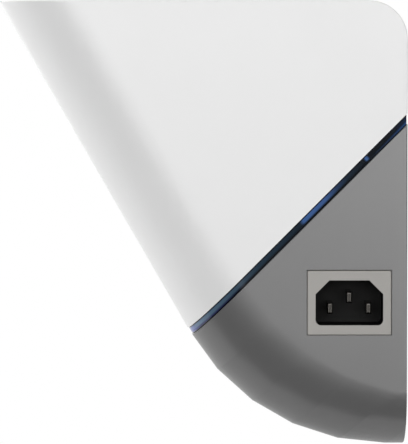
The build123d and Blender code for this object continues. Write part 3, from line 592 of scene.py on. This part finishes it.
# Silicone filled with alumina: soft, dry and slightly blue.
silicone = moulded("thermal_silicone", "#7C8792", "#8A95A0", rough=0.8, grain=0.6, depth=0.02)
finish_nodes(silicone, "thermal_pad")

# Natural nylon 66: off-white and faintly waxy.
nylon = moulded("natural_nylon", "#DDDBCF", "#E6E4DA", rough=0.42, grain=0.9, depth=0.008)
finish_nodes(nylon, "power_sockets", "ribbon_sockets", "supply_standoffs")

# ------------------------------------------------------------------ power supply
# A single-sided board hangs under the tray with the flyback transformer, the choke, the
# capacitors, the fuse and the switch on its own plate of aluminium.
WAVE_PITCH = 0.314  # a wave texture of scale 1 has its bands this far apart
tape_pitch, tape_thickness = 6.28, 0.06  # mm
draw_line_size = 3.0

# Tan phenolic paper laminate, printed with brown tracks.
laminate = circuit_board("phenolic_laminate", "#8F6A2C", "#79561F")
finish_nodes(laminate, "supply_board")

# Sintered ferrite: dark, dense and dull, with ground faces.
ferrite = moulded("ferrite", "#2A2A2C", "#363638", rough=0.6, grain=0.5, depth=0.015)
finish_nodes(ferrite, "transformer_core", "line_choke")

# Shrink sleeve of dark blue PVC, glossy and drawn tight on the can.
sleeve = moulded(
    "PVC_shrink_sleeve", "#12161F", "#1A1F2C", rough=0.25, grain=2.0, depth=0.006, drift=12.0
)
finish_nodes(sleeve, "bulk_capacitor", "output_capacitors")

# Yellow polyester tape, 0.06 mm thick and wound in overlapping turns that leave fine ridges.
tape, tree, shader, place = start_material("yellow_polyester_tape", rough=0.3, ior=1.6)
turns = add_node(
    tree,
    "ShaderNodeTexWave",
    {"wave_type": "BANDS", "bands_direction": "X"},
    {"Scale": WAVE_PITCH / (tape_pitch * MM), "Distortion": 0.4},
    {"Vector": place},
)
tone = add_node(
    tree,
    "ShaderNodeMix",
    {"data_type": "RGBA"},
    {6: linear("#C59E18"), 7: linear("#D9B72B")},
    {0: turns.outputs["Fac"]},
)
ridges = add_node(
    tree,
    "ShaderNodeBump",
    None,
    {"Strength": 0.5, "Distance": tape_thickness * MM},
    {"Height": turns.outputs["Fac"]},
)
tree.links.new(tone.outputs[2], shader.inputs["Base Color"])
tree.links.new(ridges.outputs[0], shader.inputs["Normal"])
finish_nodes(tape, "transformer_winding", "x_capacitor")

# Soda-lime glass tube, clear with a slight green; faint draw lines along it.
glass, tree, shader, place = start_material("soda_lime_glass", rough=0.04, ior=1.52)
shader.inputs["Transmission Weight"].default_value = 0.85
draw_lines = add_node(
    tree, "ShaderNodeTexNoise", None, {"Scale": 1 / (draw_line_size * MM)}, {"Vector": place}
)
tone = add_node(
    tree,
    "ShaderNodeMix",
    {"data_type": "RGBA"},
    {6: linear("#DDE8E2"), 7: linear("#F2F7F4")},
    {0: draw_lines.outputs[0]},
)
tree.links.new(tone.outputs[2], shader.inputs["Base Color"])
finish_nodes(glass, "fuse")

# Green nylon 66, the usual colour of a screw terminal.
green_nylon = moulded("green_nylon", "#1F6B38", "#257942", rough=0.45, grain=0.8, depth=0.01)
finish_nodes(green_nylon, "mains_terminal")

# ------------------------------------------------------------------ mains inlet
# A C14 inlet snaps in from outside: a black polyamide shroud with three nickelled brass
# blades, framed by a beige-grey trim that laps over the shroud's rim.
inlet_y, inlet_z = -21.0, -28.0
trim_thickness, trim_long, trim_high = 1.8, 30.5, 23.4
trim_face = 70.3
trim_corner, trim_edge = 0.5, 0.35
mouth_long, mouth_high, mouth_bevel, mouth_low_radius = 24.5, 16.3, 5.0, 2.0
mouth_gap = 0.03  # the lip stands this far off the shroud's mouth
shroud_rim = 0.82
lip_thickness = 0.18
cutter_depth = 4.0
clear_of_face = 1.0  # mm, so that the first cut goes right through


def inlet_block(name, thickness, long, high, face):
    """A block of those sizes in mm, centred on the inlet, with its front at that X."""
    bpy.ops.object.select_all(action="DESELECT")
    bpy.ops.mesh.primitive_cube_add(size=1)
    block = bpy.context.active_object
    block.name = name
    block.scale = Vector((thickness, long, high)) * MM
    block.location = Vector((face - thickness / 2, inlet_y, inlet_z)) * MM
    bpy.ops.object.transform_apply(location=True, rotation=False, scale=True)
    return block


def through_block(a, b):
    return abs(a.x - b.x) > NEAR


def at_upper_corner(a, b):
    return through_block(a, b) and min(a.z, b.z) > inlet_z


def at_lower_corner(a, b):
    return through_block(a, b) and max(a.z, b.z) < inlet_z


trim = inlet_block("inlet_trim", trim_thickness, trim_long, trim_high, trim_face)
round_edges(trim, trim_corner, steps=4, chosen=through_block)
round_edges(trim, trim_edge, steps=3, chosen=lambda a, b: min(a.x, b.x) > trim_face - NEAR)

# The lip's hole is the mouth itself, and the hole behind it clears the shroud's rim.
cuts = ((mouth_gap, trim_face + clear_of_face), (shroud_rim, trim_face - lip_thickness))
for growth, front in cuts:
    hole_long, hole_high = mouth_long + 2 * growth, mouth_high + 2 * growth
    cutter = inlet_block("cutter", cutter_depth, hole_long, hole_high, front)
    bevel = mouth_bevel + growth * (2 - math.sqrt(2))
    round_edges(cutter, bevel, steps=1, chosen=at_upper_corner)
    round_edges(cutter, mouth_low_radius + growth, steps=8, chosen=at_lower_corner)
    only(trim)
    cut = trim.modifiers.new("mouth", "BOOLEAN")
    cut.operation, cut.object, cut.solver = "DIFFERENCE", cutter, "EXACT"
    bpy.ops.object.modifier_apply(modifier=cut.name)
    bpy.data.objects.remove(cutter)

# Beige-grey ABS, matt: a warm tone beside the neutral grey housing.
beige_abs = moulded("beige_grey_ABS", "#8D8A85", "#918E89", rough=0.5, grain=0.6, depth=0.01)
finish_piece(trim, beige_abs, "inlet_bezel")

# Black polyamide 66 with glass fibre: a dull skin that gives almost no reflection.
polyamide = moulded(
    "glass_filled_polyamide", "#080807", "#0D0D0C", rough=0.5, grain=0.5, depth=0.015, gloss=0.08
)
finish_nodes(
    polyamide,
    "inlet_body",
    "lan_jack_1_insert",
    "lan_jack_2_insert",
    "pair_switch",
    "reset_switch",
)

# Nickel over brass, stamped, with draw marks along the blade; its colour is set far darker than
# bare nickel.
nickel = plated(
    "nickel_plated_brass",
    "#474542",
    "#504E4B",
    rough=0.2,
    grain=0.25,
    stretch=(0.1, 1, 1),
    depth=0.001,
)
finish_nodes(nickel, "live_blade", "neutral_blade", "earth_blade")

# ------------------------------------------------------------------ wires
# PVC-sheathed leads: brown and blue from the inlet to the terminal, green and yellow to the
# tray, a black pair between the boards and two black coaxial leads to the aerials.
stripe_pitch = 3.2
yellow_from, yellow_full = 0.55, 0.65  # of the wave's height

# Soft PVC sheaths, extruded: even colours with a slight waxy shine.
brown_pvc = moulded("brown_PVC", "#4A2A14", "#55331B", rough=0.38, grain=1.5, depth=0.01)
finish_nodes(brown_pvc, "live_wire")
blue_pvc = moulded("blue_PVC", "#1F4C9B", "#2658AC", rough=0.38, grain=1.5, depth=0.01)
finish_nodes(blue_pvc, "neutral_wire")
black_pvc = moulded("black_PVC", "#0C0C0C", "#151515", rough=0.42, grain=1.5, depth=0.01)
finish_nodes(black_pvc, "dc_lead", "left_aerial_lead", "right_aerial_lead")

# The earth's sheath is extruded in two colours, green with a yellow stripe.
striped, tree, shader, place = start_material("green_and_yellow_PVC", rough=0.38, ior=1.53)
stripes = add_node(
    tree,
    "ShaderNodeTexWave",
    {"wave_type": "BANDS", "bands_direction": "DIAGONAL"},
    {"Scale": WAVE_PITCH / (stripe_pitch * MM)},
    {"Vector": place},
)
in_yellow = add_node(
    tree,
    "ShaderNodeMapRange",
    None,
    {"From Min": yellow_from, "From Max": yellow_full},
    {"Value": stripes.outputs["Fac"]},
)
tone = add_node(
    tree,
    "ShaderNodeMix",
    {"data_type": "RGBA"},
    {6: linear("#2F8A3A"), 7: linear("#D8C42A")},
    {0: in_yellow.outputs[0]},
)
tree.links.new(tone.outputs[2], shader.inputs["Base Color"])
finish_nodes(striped, "earth_wire")

# ------------------------------------------------------------------ network jacks
# Two shielded jacks on their own board: nickelled steel shells folded from strip, black
# inserts, and eight gold-flashed spring contacts in each.

# Nickel on steel strip: smooth, with a rolled grain across the face.
nickel_steel = plated(
    "nickel_plated_steel",
    "#96979A",
    "#A2A4A6",
    rough=0.26,
    grain=0.5,
    stretch=(1, 0.12, 1),
    depth=0.001,
)
finish_nodes(nickel_steel, "lan_jack_1_shell", "lan_jack_2_shell")

# Hard gold, under a micron thick, over nickel.
gold = plated("gold_flash", "#CFA445", "#D8AF4D", rough=0.22, grain=0.3, depth=0.001)
finish_nodes(gold, "lan_jack_1_contacts", "lan_jack_2_contacts", "aerial_sockets")

# ------------------------------------------------------------------ buttons
# The pairing button is a light grey ABS cap that slides in the side wall, and the reset
# button is a dark acetal pin behind its pinhole. Each presses a switch on the jack board.

# Light grey ABS, moulded with a finer satin than the walls.
cap_abs = moulded("light_grey_ABS", "#A4A4A4", "#A9A9A9", rough=0.36, grain=0.6, depth=0.008)
finish_nodes(cap_abs, "pair_button")

# Acetal: dark, dense and slightly waxy.
acetal = moulded("dark_acetal", "#1C1C1E", "#242426", rough=0.3, grain=0.9, depth=0.005)
finish_nodes(acetal, "reset_button")

# ------------------------------------------------------------------ ribbon and aerials
# A flat polyester ribbon joins the two boards, and an aerial board is taped inside each side
# of the cover.
conductor_pitch = 1.0

# Polyester film over flat copper conductors at 1 mm, which show through as grey lines.
film, tree, shader, place = start_material("polyester_ribbon", rough=0.35, ior=1.6)
turned = add_node(tree, "ShaderNodeMapping", None, {"Rotation": SEAM_TURN}, {"Vector": place})
lines = add_node(
    tree,
    "ShaderNodeTexWave",
    {"wave_type": "BANDS", "bands_direction": "Y"},
    {"Scale": WAVE_PITCH / (conductor_pitch * MM)},
    {"Vector": turned.outputs[0]},
)
tone = add_node(
    tree,
    "ShaderNodeMix",
    {"data_type": "RGBA"},
    {6: linear("#C9C8C2"), 7: linear("#EFEEE8")},
    {0: lines.outputs["Fac"]},
)
tree.links.new(tone.outputs[2], shader.inputs["Base Color"])
finish_nodes(film, "port_ribbon")

# Black mask over the printed copper of the aerials.
black_mask = circuit_board("black_solder_mask", "#0B0E0D", "#1B221F")
finish_nodes(black_mask, "left_aerial", "right_aerial")

# ------------------------------------------------------------------ floor and world
# The node hangs clear of a pale floor, under an even sky that shows as plain white and is a
# little dimmer as a light.
hang_height = 60.0
floor_size = 8.0  # m
shadow_reach, plain_from = 0.15, 0.5  # m from the floor's middle
sky_level = 0.86


def background_share(tree):
    """1 for the rays that show the background: straight, mirrored or through glass."""
    path = add_node(tree, "ShaderNodeLightPath")
    share = path.outputs["Is Camera Ray"]
    for ray in ("Is Glossy Ray", "Is Transmission Ray"):
        share = add_node(
            tree,
            "ShaderNodeMath",
            {"operation": "MAXIMUM"},
            None,
            {0: share, 1: path.outputs[ray]},
        ).outputs[0]
    return share


bpy.ops.object.select_all(action="DESELECT")
bpy.ops.mesh.primitive_plane_add(size=floor_size, location=(0, 0, cad_low.z - hang_height * MM))
floor = bpy.context.active_object
floor.name = "floor"

# Matt white paint. Away from the object it shows as plain white, and near it takes its shadow.
# From below it is clear, so that the underside can be looked at.
painted, tree, shader, place = start_material("matt_white_paint", rough=0.9)
shader.inputs["Base Color"].default_value = linear("#F4F4F4")
shader.inputs["Specular IOR Level"].default_value = 0.1
away = add_node(tree, "ShaderNodeVectorMath", {"operation": "LENGTH"}, None, {0: place})
far = add_node(
    tree,
    "ShaderNodeMapRange",
    {"interpolation_type": "SMOOTHSTEP"},
    {"From Min": shadow_reach, "From Max": plain_from},
    {"Value": away.outputs["Value"]},
)
share = add_node(
    tree,
    "ShaderNodeMath",
    {"operation": "MULTIPLY"},
    None,
    {0: far.outputs[0], 1: background_share(tree)},
)
plain = add_node(tree, "ShaderNodeEmission", None, {"Strength": 1.0})
mixed = add_node(
    tree,
    "ShaderNodeMixShader",
    None,
    None,
    {0: share.outputs[0], 1: shader.outputs[0], 2: plain.outputs[0]},
)
side = add_node(tree, "ShaderNodeNewGeometry")
clear = add_node(tree, "ShaderNodeBsdfTransparent")
one_sided = add_node(
    tree,
    "ShaderNodeMixShader",
    None,
    None,
    {0: side.outputs["Backfacing"], 1: mixed.outputs[0], 2: clear.outputs[0]},
)
output = next(node for node in tree.nodes if node.type == "OUTPUT_MATERIAL")
tree.links.new(one_sided.outputs[0], output.inputs["Surface"])
floor.data.materials.append(painted)

sky = bpy.data.worlds.new("even_sky")
sky.use_nodes = True
tree = sky.node_tree
tree.nodes.clear()
strength = add_node(
    tree,
    "ShaderNodeMapRange",
    None,
    {"To Min": sky_level, "To Max": 1.0},
    {"Value": background_share(tree)},
)
white = add_node(
    tree,
    "ShaderNodeBackground",
    None,
    {"Color": (1, 1, 1, 1)},
    {"Strength": strength.outputs[0]},
)
add_node(tree, "ShaderNodeOutputWorld", None, None, {"Surface": white.outputs[0]})
scene.world = sky

# ------------------------------------------------------------------ studio lights
# One softbox overhead, one low behind the front edge, and cards that only reflections see:
# a bright one behind the camera, seen through a hole in a black surround and broken by a
# black patch, a wide one behind the object, and a dark one lying under its belly.
centre = Vector((0, -75, 0)) * MM
lamps = (  # name, place in mm, width and height in m, watts
    ("top_softbox", (300, -900, 1700), 1.2, 1.2, 4.0),
    ("rim_softbox", (-750, -1450, -50), 1.4, 0.5, 12.0),
)
for name, spot, width, height, watts in lamps:
    lamp = bpy.data.lights.new(name, "AREA")
    lamp.shape = "RECTANGLE"
    lamp.size, lamp.size_y, lamp.energy = width, height, watts
    softbox = bpy.data.objects.new(name, lamp)
    softbox.location = Vector(spot) * MM
    softbox.rotation_euler = (centre - softbox.location).to_track_quat("-Z", "Y").to_euler()
    scene.collection.objects.link(softbox)

cards = (  # name, place in mm, width, height and hole in m, glow
    ("black_surround", (800, -90, -15), 6.0, 6.0, 0.86, 0.0),
    ("bright_card", (1600, -75, -60), 1.9, 1.9, 0.0, 6.8),
    ("black_patch", (1500, -75, -40), 0.52, 0.46, 0.0, 0.0),
    ("rim_card", (-900, -75, 30), 6.0, 6.0, 0.0, 1.8),
    ("dark_floor", (435, -75, -139), 0.7, 2.4, 0.0, 0.0),
)
for name, spot, width, height, hole, glow in cards:
    bpy.ops.object.select_all(action="DESELECT")
    bpy.ops.mesh.primitive_plane_add(size=1)
    card = bpy.context.active_object
    card.name = name
    card.scale = (width, height, 1)
    bpy.ops.object.transform_apply(scale=True)
    if hole:
        bpy.ops.object.mode_set(mode="EDIT")
        bpy.ops.mesh.select_all(action="SELECT")
        bpy.ops.mesh.inset(thickness=(width - hole) / 2)
        bpy.ops.mesh.delete(type="FACE")
        bpy.ops.object.mode_set(mode="OBJECT")
    card.location = Vector(spot) * MM
    if name != "dark_floor":  # which lies flat, while the others face the object
        card.rotation_euler = (centre - card.location).to_track_quat("Z", "Y").to_euler()
    for ray in ("camera", "diffuse", "transmission", "volume_scatter", "shadow"):
        setattr(card, f"visible_{ray}", False)
    board_paint, tree, shader, place = start_material(f"{name}_paint")
    shader.inputs["Base Color"].default_value = (0, 0, 0, 1)
    shader.inputs["Specular IOR Level"].default_value = 0.0
    shader.inputs["Emission Color"].default_value = (1, 1, 1, 1)
    shader.inputs["Emission Strength"].default_value = glow
    card.data.materials.append(board_paint)

# ------------------------------------------------------------------ camera
# A long lens square to the right side and a little above its middle. It stands 1.4 m off, so
# the object hardly tapers.
camera_place = Vector((1420, -75.2, 65.5)) * MM
looked_at = Vector((70, -73.8, 1.4)) * MM
camera = bpy.data.cameras.new("camera")
camera.lens = 302  # mm
camera.sensor_width = 36  # mm
camera.clip_start = 0.01  # m
tripod = bpy.data.objects.new("camera", camera)
tripod.location = camera_place
tripod.rotation_euler = (looked_at - camera_place).to_track_quat("-Z", "Y").to_euler()
scene.collection.objects.link(tripod)
scene.camera = tripod
scene.view_settings.view_transform = "Standard"
